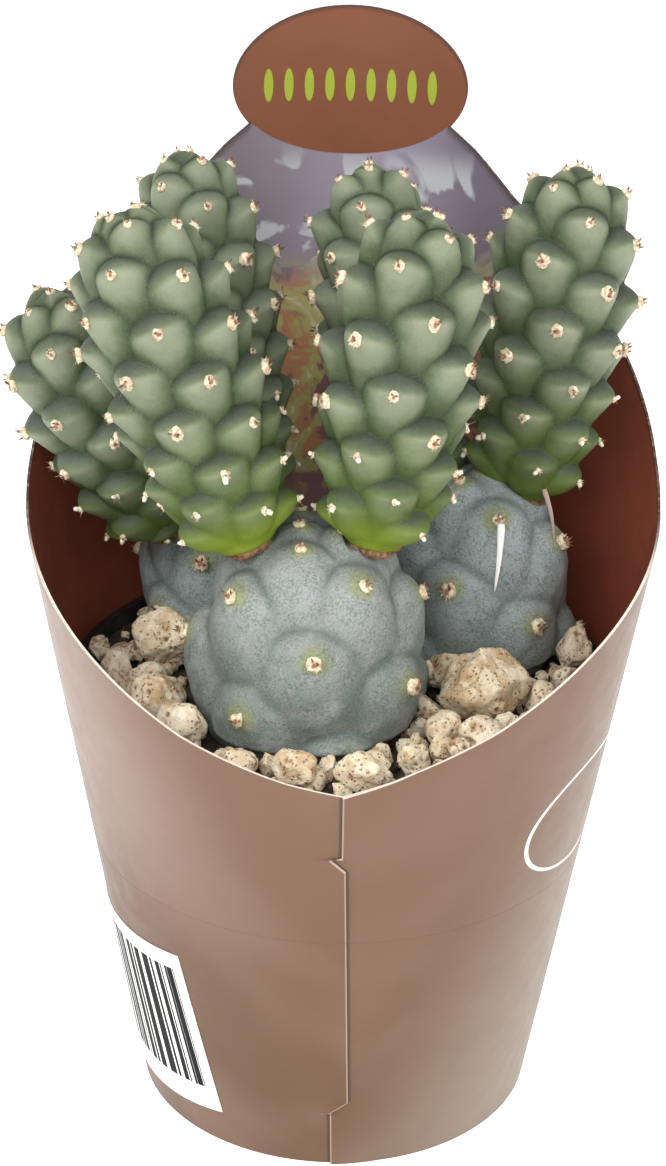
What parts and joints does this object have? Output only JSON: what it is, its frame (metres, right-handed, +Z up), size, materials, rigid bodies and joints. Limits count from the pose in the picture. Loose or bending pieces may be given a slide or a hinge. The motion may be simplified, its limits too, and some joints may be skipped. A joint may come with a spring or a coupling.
{
  "type": "potted cactus",
  "caption": "Small clump-forming cactus of rounded, jointed stems in a growing pot topped with pumice gravel, held in a flared card sleeve with a header.",
  "frame": {"origin": "middle of the growing pot's foot, on the surface that the pot and its sleeve stand on", "axes": "+Z up, -Y towards the front seam and the sleeve's low edge, +Y towards the header, +X to the right seen from the front"},
  "size_m": [0.0773, 0.079, 0.1242],
  "materials": {
    "card": "smooth printed card with a satin varnish",
    "black_plastic": "matte black",
    "soil": "dark crumbly potting soil",
    "grey_skin": "dull waxy blue-grey plant skin with fine dark dots",
    "green_skin": "dull waxy green plant skin",
    "pumice": "rough pitted pumice"
  },
  "bodies": {
    "root": {"sleeve": "card", "grow_pot": "black_plastic", "soil": "soil", "grey_joint_front": "grey_skin", "grey_joint_right": "grey_skin", "grey_joint_left": "grey_skin", "green_joint_front_left": "green_skin", "green_joint_front_right": "green_skin", "green_joint_right": "green_skin", "green_joint_back_left": "green_skin", "green_joint_back_centre": "green_skin", "green_joint_far_left": "green_skin", "stone_01": "pumice", "stone_02": "pumice", "stone_03": "pumice", "stone_04": "pumice", "stone_05": "pumice", "stone_06": "pumice", "stone_07": "pumice", "stone_08": "pumice", "stone_09": "pumice", "stone_10": "pumice", "stone_11": "pumice", "stone_12": "pumice", "stone_13": "pumice", "stone_14": "pumice", "stone_15": "pumice", "stone_16": "pumice", "stone_17": "pumice", "stone_18": "pumice", "stone_19": "pumice", "stone_20": "pumice", "stone_21": "pumice", "stone_22": "pumice", "stone_23": "pumice", "stone_24": "pumice", "stone_25": "pumice", "stone_26": "pumice", "stone_27": "pumice", "stone_28": "pumice", "stone_29": "pumice", "stone_30": "pumice", "stone_31": "pumice", "stone_32": "pumice", "stone_33": "pumice", "stone_34": "pumice", "stone_35": "pumice", "stone_36": "pumice", "stone_37": "pumice", "stone_38": "pumice", "stone_39": "pumice"}
  },
  "joints": []
}
